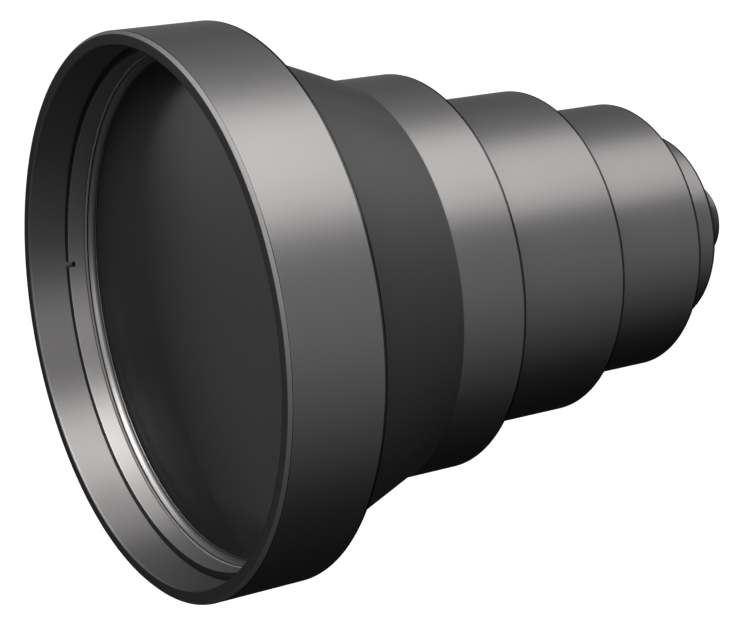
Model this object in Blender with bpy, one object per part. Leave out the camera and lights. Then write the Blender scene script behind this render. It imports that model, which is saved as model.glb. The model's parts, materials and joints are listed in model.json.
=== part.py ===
"""Telecentric lens with a large aspheric front element.

The optical axis lies along Y. The wide bell at the front faces -Y and the camera end
faces +Y. The origin is the centre of the seat where the camera's front plate meets the
collar. Every piece is turned about the axis, so it is written as a profile of
(radius, station) points, where a station is a place along Y. All lengths are in metres.
"""

import math

import bmesh
import bpy
from mathutils import Matrix

MM = 0.001

# Clearances and small edges
FIT = 0.3 * MM
OUTER_EDGE = 0.6 * MM
INNER_EDGE = 0.4 * MM

# How far a side of a round piece may lie inside its true circle
SHOWN_CHORD_ERROR = 0.11 * MM
INNER_CHORD_ERROR = 0.18 * MM

# Camera mount: a one inch thread and the collar that seats on the camera
THREAD_RADIUS = 12.7 * MM
THREAD_LENGTH = 4.0 * MM
THREAD_RELIEF = 0.6 * MM
SEAT_WIDTH = 2.3 * MM
COLLAR_LENGTH = 14.5 * MM
MOUNT_WALL = 2.7 * MM
MOUNT_SPIGOT_STEP = 2.0 * MM

# Outer steps, from the rear ring forward
RING_RADIUS = 32.0 * MM
REAR_SHOULDER = 11.7 * MM
MIDDLE_SHOULDER = 8.5 * MM
CLAMP_SHOULDER = 10.3 * MM
CONE_RISE = 15.5 * MM
BELL_SHOULDER = 7.0 * MM

# Lengths of the outer sections, from the rear ring forward
RING_LENGTH = 16.0 * MM
REAR_LENGTH = 37.5 * MM
MIDDLE_LENGTH = 44.8 * MM
CLAMP_LENGTH = 22.5 * MM
CONE_LENGTH = 40.2 * MM
BELL_LENGTH = 31.0 * MM

# Walls and the spigots that join one section to the next
RING_WALL = 7.7 * MM
REAR_WALL = 6.2 * MM
MIDDLE_WALL = 6.2 * MM
HOUSING_WALL = 5.0 * MM
BELL_WALL = 4.5 * MM
END_WALL = 4.0 * MM
SPIGOT_STEP = 3.2 * MM
SPIGOT_LENGTH = 8.0 * MM
BELL_CHAMFER = 1.0 * MM

# Front group, held in the bell
HOUSING_FLANGE = 3.0 * MM
CELL_LENGTH = 8.1 * MM
CELL_WALL = 2.2 * MM
LIP_FILLET = 1.4 * MM
LIP_LAND = 0.6 * MM
LIP_OVERLAP = 1.8 * MM
SLIP_RING_LENGTH = 0.7 * MM
RETAINING_RING_LENGTH = 5.8 * MM
RETAINING_RING_WIDTH = 2.4 * MM
SLOT_WIDTH = 1.8 * MM
SLOT_DEPTH = 2.2 * MM
SLOT_TURN = math.radians(3.0)
FRONT_LENS_EDGE = 3.6 * MM
FRONT_RETAINER_WIDTH = 2.7 * MM

# Aspheric front surface: vertex radius, conic constant and fourth order term per cubic metre
FRONT_LENS_RADIUS = 300.0 * MM
FRONT_LENS_CONIC = -0.9
FRONT_LENS_FOURTH = 15.0
FRONT_LENS_BACK_RADIUS = 1000.0 * MM

# Light baffles in the main housing
FRONT_BAFFLE_SEAT = 3.0 * MM
FRONT_BORE_WALL = 3.5 * MM
FRONT_BAFFLE_WIDTH = 7.0 * MM
REAR_BAFFLE_WIDTH = 17.0 * MM
BAFFLE_LENGTH = 2.0 * MM

# Middle lens and its ring
MIDDLE_LENS_SETBACK = 6.0 * MM
MIDDLE_RETAINER_LENGTH = 3.0 * MM
MIDDLE_SEAT_WIDTH = 2.0 * MM
MIDDLE_RIM = 3.5 * MM
MIDDLE_LENS_EDGE = 6.0 * MM
MIDDLE_LENS_FRONT_RADIUS = 110.0 * MM
MIDDLE_LENS_BACK_RADIUS = -90.0 * MM

# Rear group, stacked in its own cell against a lip at the back
REAR_CELL_WALL = 3.7 * MM
REAR_CELL_LIP = 3.7 * MM
REAR_CELL_LIP_WIDTH = 4.3 * MM
REAR_RIM = 3.0 * MM
REAR_SPACER_MIN = 2.0 * MM
REAR_RETAINER_LENGTH = 3.0 * MM
STOP_LENGTH = 1.0 * MM
STOP_RADIUS = 5.0 * MM

# Rear lenses from the camera end forward: edge thickness, front radius, back radius, and the
# spacer in front. A negative radius is a hollow face.
REAR_LENSES = [
    (5.0 * MM, 140.0 * MM, 52.0 * MM, "rear_spacer_2"),
    (8.0 * MM, -60.0 * MM, -48.0 * MM, "rear_spacer_1"),
    (5.0 * MM, 55.0 * MM, -120.0 * MM, "stop_spacer"),
]

# Outer radii
COLLAR_RADIUS = THREAD_RADIUS + SEAT_WIDTH
REAR_RADIUS = RING_RADIUS + REAR_SHOULDER
MIDDLE_RADIUS = REAR_RADIUS + MIDDLE_SHOULDER
CLAMP_RADIUS = MIDDLE_RADIUS + CLAMP_SHOULDER
CONE_RADIUS = CLAMP_RADIUS + CONE_RISE
BELL_RADIUS = CONE_RADIUS + BELL_SHOULDER

# Bores
MOUNT_BORE = THREAD_RADIUS - MOUNT_WALL
RING_BORE = RING_RADIUS - RING_WALL
REAR_BORE = REAR_RADIUS - REAR_WALL
MIDDLE_BORE = MIDDLE_RADIUS - MIDDLE_WALL
CLAMP_BORE = CLAMP_RADIUS - HOUSING_WALL
BELL_BORE = BELL_RADIUS - BELL_WALL

# Stations of the outer steps, from the camera's seat forward
SEAT = 0.0
RING_BACK = SEAT - COLLAR_LENGTH
REAR_BACK = RING_BACK - RING_LENGTH
MIDDLE_BACK = REAR_BACK - REAR_LENGTH
CLAMP_BACK = MIDDLE_BACK - MIDDLE_LENGTH
CONE_BACK = CLAMP_BACK - CLAMP_LENGTH
BELL_BACK = CONE_BACK - CONE_LENGTH
FRONT = BELL_BACK - BELL_LENGTH

# Stations of the front group, from the housing's flange forward
FLANGE_FACE = BELL_BACK - HOUSING_FLANGE
CELL_BACK = FLANGE_FACE - FIT
CELL_FRONT = CELL_BACK - CELL_LENGTH
LIP_BACK = CELL_FRONT + LIP_FILLET + LIP_LAND
SLIP_RING_BACK = CELL_FRONT - FIT
SLIP_RING_FRONT = SLIP_RING_BACK - SLIP_RING_LENGTH
RETAINING_RING_BACK = SLIP_RING_FRONT - FIT
RETAINING_RING_FRONT = RETAINING_RING_BACK - RETAINING_RING_LENGTH


def linear_colour(code):
    """Turn a hex colour such as 2a2a2c into the linear colour that a shader takes."""
    channels = [int(code[i:i + 2], 16) / 255.0 for i in (0, 2, 4)]
    linear = [c / 12.92 if c <= 0.04045 else ((c + 0.055) / 1.055) ** 2.4 for c in channels]
    return (*linear, 1.0)


def make_finish(name, code, roughness, metallic):
    """A plain surface finish with a colour, a roughness and a metallic value."""
    material = bpy.data.materials.new(name)
    material.use_nodes = True
    shader = material.node_tree.nodes["Principled BSDF"]
    shader.inputs["Base Color"].default_value = linear_colour(code)
    shader.inputs["Roughness"].default_value = roughness
    shader.inputs["Metallic"].default_value = metallic
    material.diffuse_color = linear_colour(code)
    return material


def segment_count(radius, chord_error):
    """Number of sides, in fours, that keeps a circle within the chord error."""
    half_angle = math.acos(1.0 - chord_error / radius)
    return 4 * math.ceil(math.pi / half_angle / 4.0)


def add_object(name, mesh_builder, finish):
    """Write a bmesh into a new object with smooth round faces and sharp turned edges."""
    mesh = bpy.data.meshes.new(name)
    mesh_builder.to_mesh(mesh)
    mesh_builder.free()
    mesh.materials.append(finish)
    mesh.shade_smooth()
    mesh.set_sharp_from_angle(angle=math.radians(25.0))
    new_object = bpy.data.objects.new(name, mesh)
    bpy.context.scene.collection.objects.link(new_object)
    return new_object


def turned(name, profile, finish, is_ring=True, chord_error=SHOWN_CHORD_ERROR):
    """Turn a profile of (radius, station) points about the axis into one closed body.

    A ring's profile closes on itself. A lens's profile starts and ends on the axis.
    """
    builder = bmesh.new()
    points = [builder.verts.new((radius, station, 0.0)) for radius, station in profile]
    pairs = list(zip(points, points[1:]))
    if is_ring:
        pairs.append((points[-1], points[0]))
    edges = [builder.edges.new(pair) for pair in pairs]
    largest = max(radius for radius, station in profile)
    bmesh.ops.spin(
        builder,
        geom=points + edges,
        cent=(0.0, 0.0, 0.0),
        axis=(0.0, 1.0, 0.0),
        angle=2.0 * math.pi,
        steps=segment_count(largest, chord_error),
        use_merge=True,
    )
    bmesh.ops.remove_doubles(builder, verts=builder.verts, dist=1e-6)
    bmesh.ops.recalc_face_normals(builder, faces=builder.faces)
    return add_object(name, builder, finish)


def plain_ring(name, inner, outer, front, back, finish, chord_error=SHOWN_CHORD_ERROR):
    """A turned ring with a square section."""
    profile = [(inner, front), (outer, front), (outer, back), (inner, back)]
    return turned(name, profile, finish, chord_error=chord_error)


def inner_ring(name, inner, outer, front, back, finish):
    """A plain ring that is out of sight inside the lens."""
    return plain_ring(name, inner, outer, front, back, finish, INNER_CHORD_ERROR)


def sag(radius, vertex_radius, conic=0.0, fourth=0.0):
    """Depth of a lens surface below its vertex plane at a distance from the axis."""
    curvature = 1.0 / vertex_radius
    root = math.sqrt(1.0 - (1.0 + conic) * (curvature * radius) ** 2)
    return curvature * radius ** 2 / (1.0 + root) + fourth * radius ** 4


def aperture_radii(aperture, steps):
    """Evenly spaced radii from the axis to the edge of a lens face."""
    return [aperture * step / steps for step in range(steps + 1)]


def lens(name, radius, aperture, edges, sags, steps, finish, chord_error=INNER_CHORD_ERROR):
    """A lens with a flat land outside its aperture.

    edges holds the stations of the front and back land, sags the sag function of each face,
    and steps the number of rings on each face.
    """
    front_radii = aperture_radii(aperture, steps[0])
    back_radii = aperture_radii(aperture, steps[1])
    front = [(r, edges[0] - sags[0](aperture) + sags[0](r)) for r in front_radii]
    back = [(r, edges[1] + sags[1](aperture) - sags[1](r)) for r in reversed(back_radii)]
    rim = [(radius, edges[0]), (radius, edges[1])]
    return turned(name, front + rim + back, finish, is_ring=False, chord_error=chord_error)


def barrel(name, radius, bore_profile, front, back, hole, finish):
    """A stepped barrel: spigot in front, visible cylinder, and an end wall with a hole.

    bore_profile lists the (radius, station) points of the bore from back to front.
    """
    shoulder = front + FIT
    spigot = radius - SPIGOT_STEP
    spigot_front = shoulder - SPIGOT_LENGTH
    profile = [
        (spigot, spigot_front),
        (spigot, shoulder),
        (radius, shoulder),
        (radius, back - OUTER_EDGE),
        (radius - OUTER_EDGE, back),
        (hole, back),
        (hole, back - END_WALL),
    ]
    return turned(name, profile + bore_profile, finish)


def spigot_hole(next_radius):
    """Hole in an end wall for the spigot of the next section."""
    return next_radius - SPIGOT_STEP + FIT


def make_bell(finish):
    """Short tube at the front, with a wide chamfer round its mouth."""
    profile = [
        (BELL_RADIUS - BELL_CHAMFER, FRONT),
        (BELL_RADIUS, FRONT + BELL_CHAMFER),
        (BELL_RADIUS, BELL_BACK - OUTER_EDGE),
        (BELL_RADIUS - OUTER_EDGE, BELL_BACK),
        (BELL_BORE, BELL_BACK),
        (BELL_BORE, FRONT + INNER_EDGE),
        (BELL_BORE + INNER_EDGE, FRONT),
    ]
    turned("front_bell", profile, finish)


def make_retaining_ring(finish):
    """Threaded ring in the bell's bore, with two spanner slots across its front face.

    The ring is screwed down until it is tight, so its slots lie a little past the X axis.
    """
    outer = BELL_BORE - FIT
    inner = outer - RETAINING_RING_WIDTH
    front = RETAINING_RING_FRONT
    ring = plain_ring("front_retaining_ring", inner, outer, front, RETAINING_RING_BACK, finish)
    builder = bmesh.new()
    bar_length = 2.0 * (outer + RETAINING_RING_WIDTH)
    place = Matrix.Translation((0.0, RETAINING_RING_FRONT, 0.0)) @ Matrix.Rotation(-SLOT_TURN, 4, "Y")
    stretch = Matrix.Diagonal((bar_length, 2.0 * SLOT_DEPTH, SLOT_WIDTH, 1.0))
    bmesh.ops.create_cube(builder, size=1.0, matrix=place @ stretch)
    cutter = add_object("slot_cutter", builder, finish)
    cutter.hide_render = True
    cutter.display_type = "WIRE"
    cut = ring.modifiers.new("spanner slots", "BOOLEAN")
    cut.operation = "DIFFERENCE"
    cut.solver = "EXACT"
    cut.object = cutter


def make_slip_ring(finish):
    """Thin washer that lets the retaining ring turn without turning the lens cell."""
    outer = BELL_BORE - FIT
    inner = outer - RETAINING_RING_WIDTH
    plain_ring("front_slip_ring", inner, outer, SLIP_RING_FRONT, SLIP_RING_BACK, finish)


def make_front_group(metal, glass):
    """Cell with a filleted lip, the aspheric lens behind the lip, and the ring that holds it."""
    cell_radius = BELL_BORE - FIT
    cell_bore = cell_radius - CELL_WALL
    lens_radius = cell_bore - FIT
    aperture = lens_radius - LIP_OVERLAP
    fillet_steps = 4
    fillet = []
    for step in range(fillet_steps + 1):
        angle = 0.5 * math.pi * step / fillet_steps
        radius = aperture + LIP_FILLET * (1.0 - math.sin(angle))
        station = CELL_FRONT + LIP_FILLET * (1.0 - math.cos(angle))
        fillet.append((radius, station))
    profile = [(cell_radius, CELL_FRONT)] + fillet
    profile += [(aperture, LIP_BACK), (cell_bore, LIP_BACK), (cell_bore, CELL_BACK)]
    profile.append((cell_radius, CELL_BACK))
    turned("front_lens_cell", profile, metal)

    def front_sag(radius):
        return sag(radius, FRONT_LENS_RADIUS, FRONT_LENS_CONIC, FRONT_LENS_FOURTH)

    def back_sag(radius):
        return sag(radius, FRONT_LENS_BACK_RADIUS)

    edge_front = LIP_BACK + FIT
    edge_back = edge_front + FRONT_LENS_EDGE
    lens("front_asphere", lens_radius, aperture, (edge_front, edge_back),
         (front_sag, back_sag), (7, 3), glass, SHOWN_CHORD_ERROR)
    retainer_inner = lens_radius - FRONT_RETAINER_WIDTH
    inner_ring("front_lens_retainer", retainer_inner, lens_radius, edge_back + FIT,
               CELL_BACK, metal)


def cone_radius(station):
    """Outer radius of the cone at a station."""
    return CONE_RADIUS - CONE_RISE * (station - BELL_BACK) / CONE_LENGTH


def make_main_housing(metal):
    """Flange in the bell, cone, and the wide cylinder by which the lens can be clamped."""
    flange_radius = BELL_BORE - FIT
    baffle_seat = BELL_BACK + FRONT_BAFFLE_SEAT
    front_bore = cone_radius(baffle_seat) - FRONT_BORE_WALL
    hole = spigot_hole(MIDDLE_RADIUS)
    profile = [
        (front_bore, FLANGE_FACE),
        (flange_radius, FLANGE_FACE),
        (flange_radius, BELL_BACK),
        (CONE_RADIUS, BELL_BACK),
        (CLAMP_RADIUS, CONE_BACK),
        (CLAMP_RADIUS, CLAMP_BACK - OUTER_EDGE),
        (CLAMP_RADIUS - OUTER_EDGE, CLAMP_BACK),
        (hole, CLAMP_BACK),
        (hole, CLAMP_BACK - END_WALL),
        (CLAMP_BORE, CLAMP_BACK - END_WALL),
        (CLAMP_BORE, CONE_BACK),
        (cone_radius(baffle_seat) - HOUSING_WALL, baffle_seat),
        (front_bore, baffle_seat),
    ]
    turned("main_housing", profile, metal)
    baffle_radius = front_bore - FIT
    inner_ring("front_baffle", baffle_radius - FRONT_BAFFLE_WIDTH, baffle_radius,
               baffle_seat - FIT - BAFFLE_LENGTH, baffle_seat - FIT, metal)
    spigot_front = CLAMP_BACK + FIT - SPIGOT_LENGTH
    baffle_radius = CLAMP_BORE - FIT
    inner_ring("rear_baffle", baffle_radius - REAR_BAFFLE_WIDTH, baffle_radius,
               spigot_front - FIT - BAFFLE_LENGTH, spigot_front - FIT, metal)


def make_middle_group(metal, glass):
    """Second barrel with a meniscus lens against a seat in its bore."""
    spigot_front = CLAMP_BACK + FIT - SPIGOT_LENGTH
    retainer_front = spigot_front + MIDDLE_LENS_SETBACK
    edge_front = retainer_front + MIDDLE_RETAINER_LENGTH + FIT
    edge_back = edge_front + MIDDLE_LENS_EDGE
    seat = edge_back + FIT
    seat_radius = MIDDLE_BORE - MIDDLE_SEAT_WIDTH
    bore_profile = [
        (seat_radius, MIDDLE_BACK - END_WALL),
        (seat_radius, seat),
        (MIDDLE_BORE, seat),
        (MIDDLE_BORE, spigot_front),
    ]
    barrel("middle_barrel", MIDDLE_RADIUS, bore_profile, CLAMP_BACK, MIDDLE_BACK,
           spigot_hole(REAR_RADIUS), metal)
    lens_radius = MIDDLE_BORE - FIT
    aperture = lens_radius - MIDDLE_RIM

    def front_sag(radius):
        return sag(radius, MIDDLE_LENS_FRONT_RADIUS)

    def back_sag(radius):
        return sag(radius, MIDDLE_LENS_BACK_RADIUS)

    lens("middle_lens", lens_radius, aperture, (edge_front, edge_back),
         (front_sag, back_sag), (4, 4), glass)
    inner_ring("middle_lens_retainer", aperture, lens_radius, retainer_front,
               edge_front - FIT, metal)


def make_rear_barrel(metal):
    """Third barrel, an open tube round the cell of the rear group."""
    spigot_front = MIDDLE_BACK + FIT - SPIGOT_LENGTH
    bore_profile = [(REAR_BORE, REAR_BACK - END_WALL), (REAR_BORE, spigot_front)]
    barrel("rear_barrel", REAR_RADIUS, bore_profile, MIDDLE_BACK, REAR_BACK,
           spigot_hole(RING_RADIUS), metal)


def make_rear_ring(metal):
    """Small plain ring behind the third barrel, which carries the cell and the mount."""
    spigot_front = REAR_BACK + FIT - SPIGOT_LENGTH
    bore_profile = [(RING_BORE, RING_BACK - END_WALL), (RING_BORE, spigot_front)]
    mount_hole = COLLAR_RADIUS - MOUNT_SPIGOT_STEP + FIT
    barrel("rear_ring", RING_RADIUS, bore_profile, REAR_BACK, RING_BACK, mount_hole, metal)


def make_rear_group(metal, glass):
    """Rear lenses, their spacers and the aperture stop, stacked forward from the cell's lip."""
    cell_radius = RING_BORE - FIT
    cell_bore = cell_radius - REAR_CELL_WALL
    cell_back = RING_BACK - END_WALL - FIT
    stack_radius = cell_bore - FIT
    aperture = stack_radius - REAR_RIM

    def add_to_stack(name, inner, length, back):
        """Add a ring of a length in front of a station, and return the next piece's back."""
        inner_ring(name, inner, stack_radius, back - length, back, metal)
        return back - length - FIT

    station = cell_back - REAR_CELL_LIP - FIT
    bulges_ahead = [sag(aperture, behind) for edge, ahead, behind, spacer in REAR_LENSES[1:]]
    for lens_index, row in enumerate(REAR_LENSES):
        edge, front_radius, back_radius, spacer_name = row
        sags = [lambda r, vertex=vertex: sag(r, vertex) for vertex in (front_radius, back_radius)]
        lens_name = f"rear_lens_{len(REAR_LENSES) - lens_index}"
        lens(lens_name, stack_radius, aperture, (station - edge, station), sags, (3, 3), glass)
        bulges = [sag(aperture, front_radius)] + bulges_ahead[lens_index:lens_index + 1]
        spacer_length = REAR_SPACER_MIN + sum(max(0.0, bulge) for bulge in bulges)
        station = add_to_stack(spacer_name, aperture, spacer_length, station - edge - FIT)
    station = add_to_stack("stop_plate", STOP_RADIUS, STOP_LENGTH, station)
    cell_front = station - REAR_RETAINER_LENGTH
    add_to_stack("rear_cell_retainer", aperture, REAR_RETAINER_LENGTH, station)
    lip_radius = cell_bore - REAR_CELL_LIP_WIDTH
    profile = [
        (cell_bore, cell_front),
        (cell_radius, cell_front),
        (cell_radius, cell_back),
        (lip_radius, cell_back),
        (lip_radius, cell_back - REAR_CELL_LIP),
        (cell_bore, cell_back - REAR_CELL_LIP),
    ]
    turned("rear_lens_cell", profile, metal, chord_error=INNER_CHORD_ERROR)


def make_camera_mount(metal):
    """Black collar and threaded nose that screw the lens to a camera."""
    spigot = COLLAR_RADIUS - MOUNT_SPIGOT_STEP
    shoulder = RING_BACK + FIT
    root = THREAD_RADIUS - THREAD_RELIEF
    face_inner = THREAD_RADIUS + INNER_EDGE
    nose = SEAT + THREAD_LENGTH
    profile = [
        (MOUNT_BORE, shoulder - END_WALL),
        (spigot, shoulder - END_WALL),
        (spigot, shoulder),
        (COLLAR_RADIUS, shoulder),
        (COLLAR_RADIUS, SEAT - INNER_EDGE),
        (COLLAR_RADIUS - INNER_EDGE, SEAT),
        (face_inner, SEAT),
        (face_inner, SEAT - INNER_EDGE),
        (root, SEAT - INNER_EDGE),
        (root, SEAT + THREAD_RELIEF),
        (THREAD_RADIUS, SEAT + THREAD_RELIEF),
        (THREAD_RADIUS, nose - INNER_EDGE),
        (THREAD_RADIUS - INNER_EDGE, nose),
        (MOUNT_BORE, nose),
    ]
    turned("camera_mount", profile, metal)


def main():
    """Build every piece."""
    for old_object in list(bpy.data.objects):
        bpy.data.objects.remove(old_object, do_unlink=True)
    satin_black = make_finish("black anodised aluminium", "3a3a3c", 0.38, 0.6)
    inner_black = make_finish("matt black anodised aluminium", "1d1d1e", 0.7, 0.3)
    thread_black = make_finish("black oxide steel", "202021", 0.5, 0.6)
    polymer = make_finish("black acetal", "161617", 0.5, 0.0)
    coated_glass = make_finish("coated optical glass", "24282c", 0.08, 0.0)
    make_bell(satin_black)
    make_retaining_ring(satin_black)
    make_slip_ring(polymer)
    make_front_group(satin_black, coated_glass)
    make_main_housing(satin_black)
    make_middle_group(satin_black, coated_glass)
    make_rear_barrel(satin_black)
    make_rear_ring(satin_black)
    make_rear_group(inner_black, coated_glass)
    make_camera_mount(thread_black)


main()
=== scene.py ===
# %% [markdown]
# A telecentric lens is a stepped black barrel with one very large element in front and a
# small camera thread at the back. This file dresses a plain model of it: every piece is
# turned again with fine, rounded edges, gets the finish that the real piece has, and is
# lit and framed as in a product picture. The model is loaded first. It is the fixed
# frame that everything else follows, so its box is measured before anything is added.

import json
import math

import bmesh
import bpy
from mathutils import Matrix, Vector


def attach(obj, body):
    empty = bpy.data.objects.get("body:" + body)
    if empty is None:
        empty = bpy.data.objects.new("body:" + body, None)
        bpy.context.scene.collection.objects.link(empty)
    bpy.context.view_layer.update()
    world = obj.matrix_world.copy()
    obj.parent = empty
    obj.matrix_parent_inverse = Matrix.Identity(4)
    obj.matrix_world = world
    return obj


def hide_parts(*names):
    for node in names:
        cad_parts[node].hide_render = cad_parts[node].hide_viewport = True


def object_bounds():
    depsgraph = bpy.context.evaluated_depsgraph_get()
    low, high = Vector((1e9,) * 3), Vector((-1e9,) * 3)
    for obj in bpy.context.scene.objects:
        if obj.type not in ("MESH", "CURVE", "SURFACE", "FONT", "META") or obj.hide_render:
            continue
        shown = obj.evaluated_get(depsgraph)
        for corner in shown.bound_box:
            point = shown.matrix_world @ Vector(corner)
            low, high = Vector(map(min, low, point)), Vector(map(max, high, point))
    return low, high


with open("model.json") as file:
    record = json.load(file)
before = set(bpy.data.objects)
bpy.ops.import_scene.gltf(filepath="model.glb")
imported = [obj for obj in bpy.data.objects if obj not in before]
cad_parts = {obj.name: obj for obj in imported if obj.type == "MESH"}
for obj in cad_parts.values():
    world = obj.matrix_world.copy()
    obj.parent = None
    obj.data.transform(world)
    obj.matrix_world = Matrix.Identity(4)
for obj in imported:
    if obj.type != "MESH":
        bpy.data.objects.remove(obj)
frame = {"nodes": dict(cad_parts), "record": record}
MODEL_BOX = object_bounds()
MM = 0.001
print("pieces in the model:", len(frame["nodes"]))

# %% [markdown]
# All trees in this file, for geometry and for materials, are built with one helper. It
# adds a node, sets its properties, and fills or links its inputs. A tree of geometry
# nodes also needs a list of named inputs, which is what a person sees on the modifier.


# %% One helper to add a node, one to start a geometry tree
def add_node(tree, kind, inputs=None, **settings):
    """Add a node, set its properties, and give its inputs a value or a link."""
    node = tree.nodes.new(kind)
    for name, value in settings.items():
        setattr(node, name, value)
    for key, value in (inputs or {}).items():
        if isinstance(value, bpy.types.NodeSocket):
            tree.links.new(value, node.inputs[key])
        else:
            node.inputs[key].default_value = value
    return node


def start_tree(name, inputs):
    """A new geometry tree with named inputs, and its group input node."""
    tree = bpy.data.node_groups.new(name, "GeometryNodeTree")
    tree.interface.new_socket("Geometry", in_out="INPUT", socket_type="NodeSocketGeometry")
    tree.interface.new_socket("Geometry", in_out="OUTPUT", socket_type="NodeSocketGeometry")
    for label, kind in inputs.items():
        tree.interface.new_socket(label, in_out="INPUT", socket_type="NodeSocket" + kind)
    return tree, add_node(tree, "NodeGroupInput")


def new_object(name, data):
    """A new object that stands in the scene."""
    thing = bpy.data.objects.new(name, data)
    bpy.context.scene.collection.objects.link(thing)
    return thing


def run_tree(tree, name, mesh, values):
    """Run a geometry tree on a mesh and return the result as a new plain object."""
    source = new_object(name + "_source", mesh)
    modifier = source.modifiers.new(tree.name, "NODES")
    modifier.node_group = tree
    for item in tree.interface.items_tree:
        if item.in_out == "INPUT" and item.name in values:
            modifier[item.identifier] = values[item.name]
    evaluated = source.evaluated_get(bpy.context.evaluated_depsgraph_get())
    result = bpy.data.meshes.new_from_object(evaluated)
    bpy.data.objects.remove(source)
    result.name = name
    return new_object(name, result)


print("helpers ready")

# %% [markdown]
# A lathe makes every piece of this lens: a tool follows an outline while the work turns.
# The same outline can be read back from the model. Each node was turned about the Y axis,
# so the points that lie in the half plane above the axis, joined by their edges, are the
# outline that it was cut to. Reading it there keeps each fine piece exactly in its place.


# %% Read the outline of a turned node
def outline_of(node):
    """Outline of a turned node as (radius, station) points in order, and if it closes."""
    merged = bmesh.new()
    merged.from_mesh(frame["nodes"][node].data)
    bmesh.ops.remove_doubles(merged, verts=merged.verts, dist=1e-6)
    tolerance = 1e-6
    cut = {v for v in merged.verts if abs(v.co.x) < tolerance and v.co.z > -tolerance}
    sides = [e for e in merged.edges if e.verts[0] in cut and e.verts[1] in cut]
    neighbours = {}
    for side in sides:
        for vertex in side.verts:
            neighbours.setdefault(vertex, []).append(side.other_vert(vertex))
    ends = [v for v in neighbours if len(neighbours[v]) == 1]
    closed = not ends
    start = min(ends or neighbours, key=lambda v: (v.co.y, -v.co.z))
    walk = [start]
    while True:
        onward = [v for v in neighbours[walk[-1]] if v not in walk[-2:]]
        if not onward or onward[0] is start:
            break
        walk.append(onward[0])
    points = [(v.co.z, v.co.y) for v in walk]
    merged.free()
    loop = zip(points, points[1:] + points[:1])
    area = sum(a[0] * b[1] - b[0] * a[1] for a, b in loop)
    return (points if area > 0 else points[::-1]), closed


for node_name in sorted(frame["nodes"]):
    corners, is_closed = outline_of(node_name)
    print(f"{node_name}: {len(corners)} corners, closed: {is_closed}")

# %% [markdown]
# No turned edge is truly sharp. The deburring pass leaves a radius of a tenth or two of a
# millimetre, and that radius catches the light as a thin line, which tells the eye that
# the part is metal. Two things could go wrong when an edge is rounded in a mesh: a long
# flat side next to it would look bent, because its shading is blended from its corners,
# and a shallow corner of a coarse curve would stay visible. So a guard point goes in near
# both ends of each long side, and a shallow corner gets a much larger radius.

# %% Draw an outline with an edge radius at each corner
EDGE_RADIUS = 0.14 * MM
SHALLOW_RADIUS = 1.35 * MM
SHALLOW_ANGLE = math.radians(30.0)
CHAMFER_RADIUS = 0.28 * MM
STEEP_ANGLE = math.radians(60.0)
STRAIGHT_ANGLE = math.radians(0.5)
GUARD = 0.65 * MM


def edge_radius(turn):
    """Radius of a corner that turns by this angle."""
    if turn < STRAIGHT_ANGLE:
        return 0.0
    if turn < SHALLOW_ANGLE:
        return SHALLOW_RADIUS
    return CHAMFER_RADIUS if turn < STEEP_ANGLE else EDGE_RADIUS


def draw_outline(points, closed):
    """A mesh of loose edges in the XY plane, x the radius, with the attribute edge_radius."""
    count = len(points)
    drawn = []
    for index, point in enumerate(points):
        here = Vector(point)
        before = Vector(points[index - 1])
        after = Vector(points[(index + 1) % count])
        at_end = not closed and index in (0, count - 1)
        turn = 0.0 if at_end else (here - before).angle(after - here)
        drawn.append((here, edge_radius(turn)))
        side = after - here
        if (closed or index < count - 1) and side.length > 4.0 * GUARD:
            drawn.append((here + side.normalized() * GUARD, 0.0))
            drawn.append((after - side.normalized() * GUARD, 0.0))
    edges = [(i, i + 1) for i in range(len(drawn) - 1)]
    if closed:
        edges.append((len(drawn) - 1, 0))
    mesh = bpy.data.meshes.new("outline")
    mesh.from_pydata([(place.x, place.y, 0.0) for place, radius in drawn], edges, [])
    radii = mesh.attributes.new("edge_radius", "FLOAT", "POINT")
    radii.data.foreach_set("value", [radius for place, radius in drawn])
    return mesh


print("bell outline drawn with", len(draw_outline(*outline_of("front_bell")).vertices), "points")

# %% [markdown]
# The lathe itself is a geometry tree. The outline becomes a curve, its corners get their
# radius, and the curve is swept along a circle. Curve to Mesh lays the outline's X axis
# along the circle's normal, so the outline is first moved back by the circle's own radius.
# The circle lies in the XY plane, and a last turn stands the result on the Y axis. Merge
# by Distance closes the seams, and the centre of a lens face, where the radius is zero.

# %% The lathe
PATH_RADIUS = 10.0 * MM


def end_tree(tree, geometry, material, selection=True):
    """End a geometry tree: make its result real, give it a material and hand it out."""
    realized = add_node(tree, "GeometryNodeRealizeInstances", {"Geometry": geometry})
    finished = add_node(
        tree, "GeometryNodeSetMaterial",
        {"Geometry": realized.outputs["Geometry"], "Selection": selection, "Material": material},
    )
    add_node(tree, "NodeGroupOutput", {"Geometry": finished.outputs["Geometry"]})


LATHE_INPUTS = {"Sides": "Int", "Points in an edge": "Int", "Merge distance": "Float"}
lathe, asked = start_tree("lathe", LATHE_INPUTS | {"Material": "Material"})
path_offset = add_node(lathe, "FunctionNodeInputVector", vector=(-PATH_RADIUS, 0.0, 0.0))
moved = add_node(
    lathe, "GeometryNodeSetPosition",
    {"Geometry": asked.outputs["Geometry"], "Offset": path_offset.outputs["Vector"]},
)
curve = add_node(lathe, "GeometryNodeMeshToCurve", {"Mesh": moved.outputs["Geometry"]})
radius_read = add_node(
    lathe, "GeometryNodeInputNamedAttribute", {"Name": "edge_radius"}, data_type="FLOAT"
)
rounded = add_node(
    lathe, "GeometryNodeFilletCurve",
    {"Curve": curve.outputs["Curve"], "Count": asked.outputs["Points in an edge"],
     "Radius": radius_read.outputs["Attribute"], "Limit Radius": True},
    mode="POLY",
)
circle = add_node(
    lathe, "GeometryNodeCurvePrimitiveCircle",
    {"Resolution": asked.outputs["Sides"], "Radius": PATH_RADIUS},
)
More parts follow.
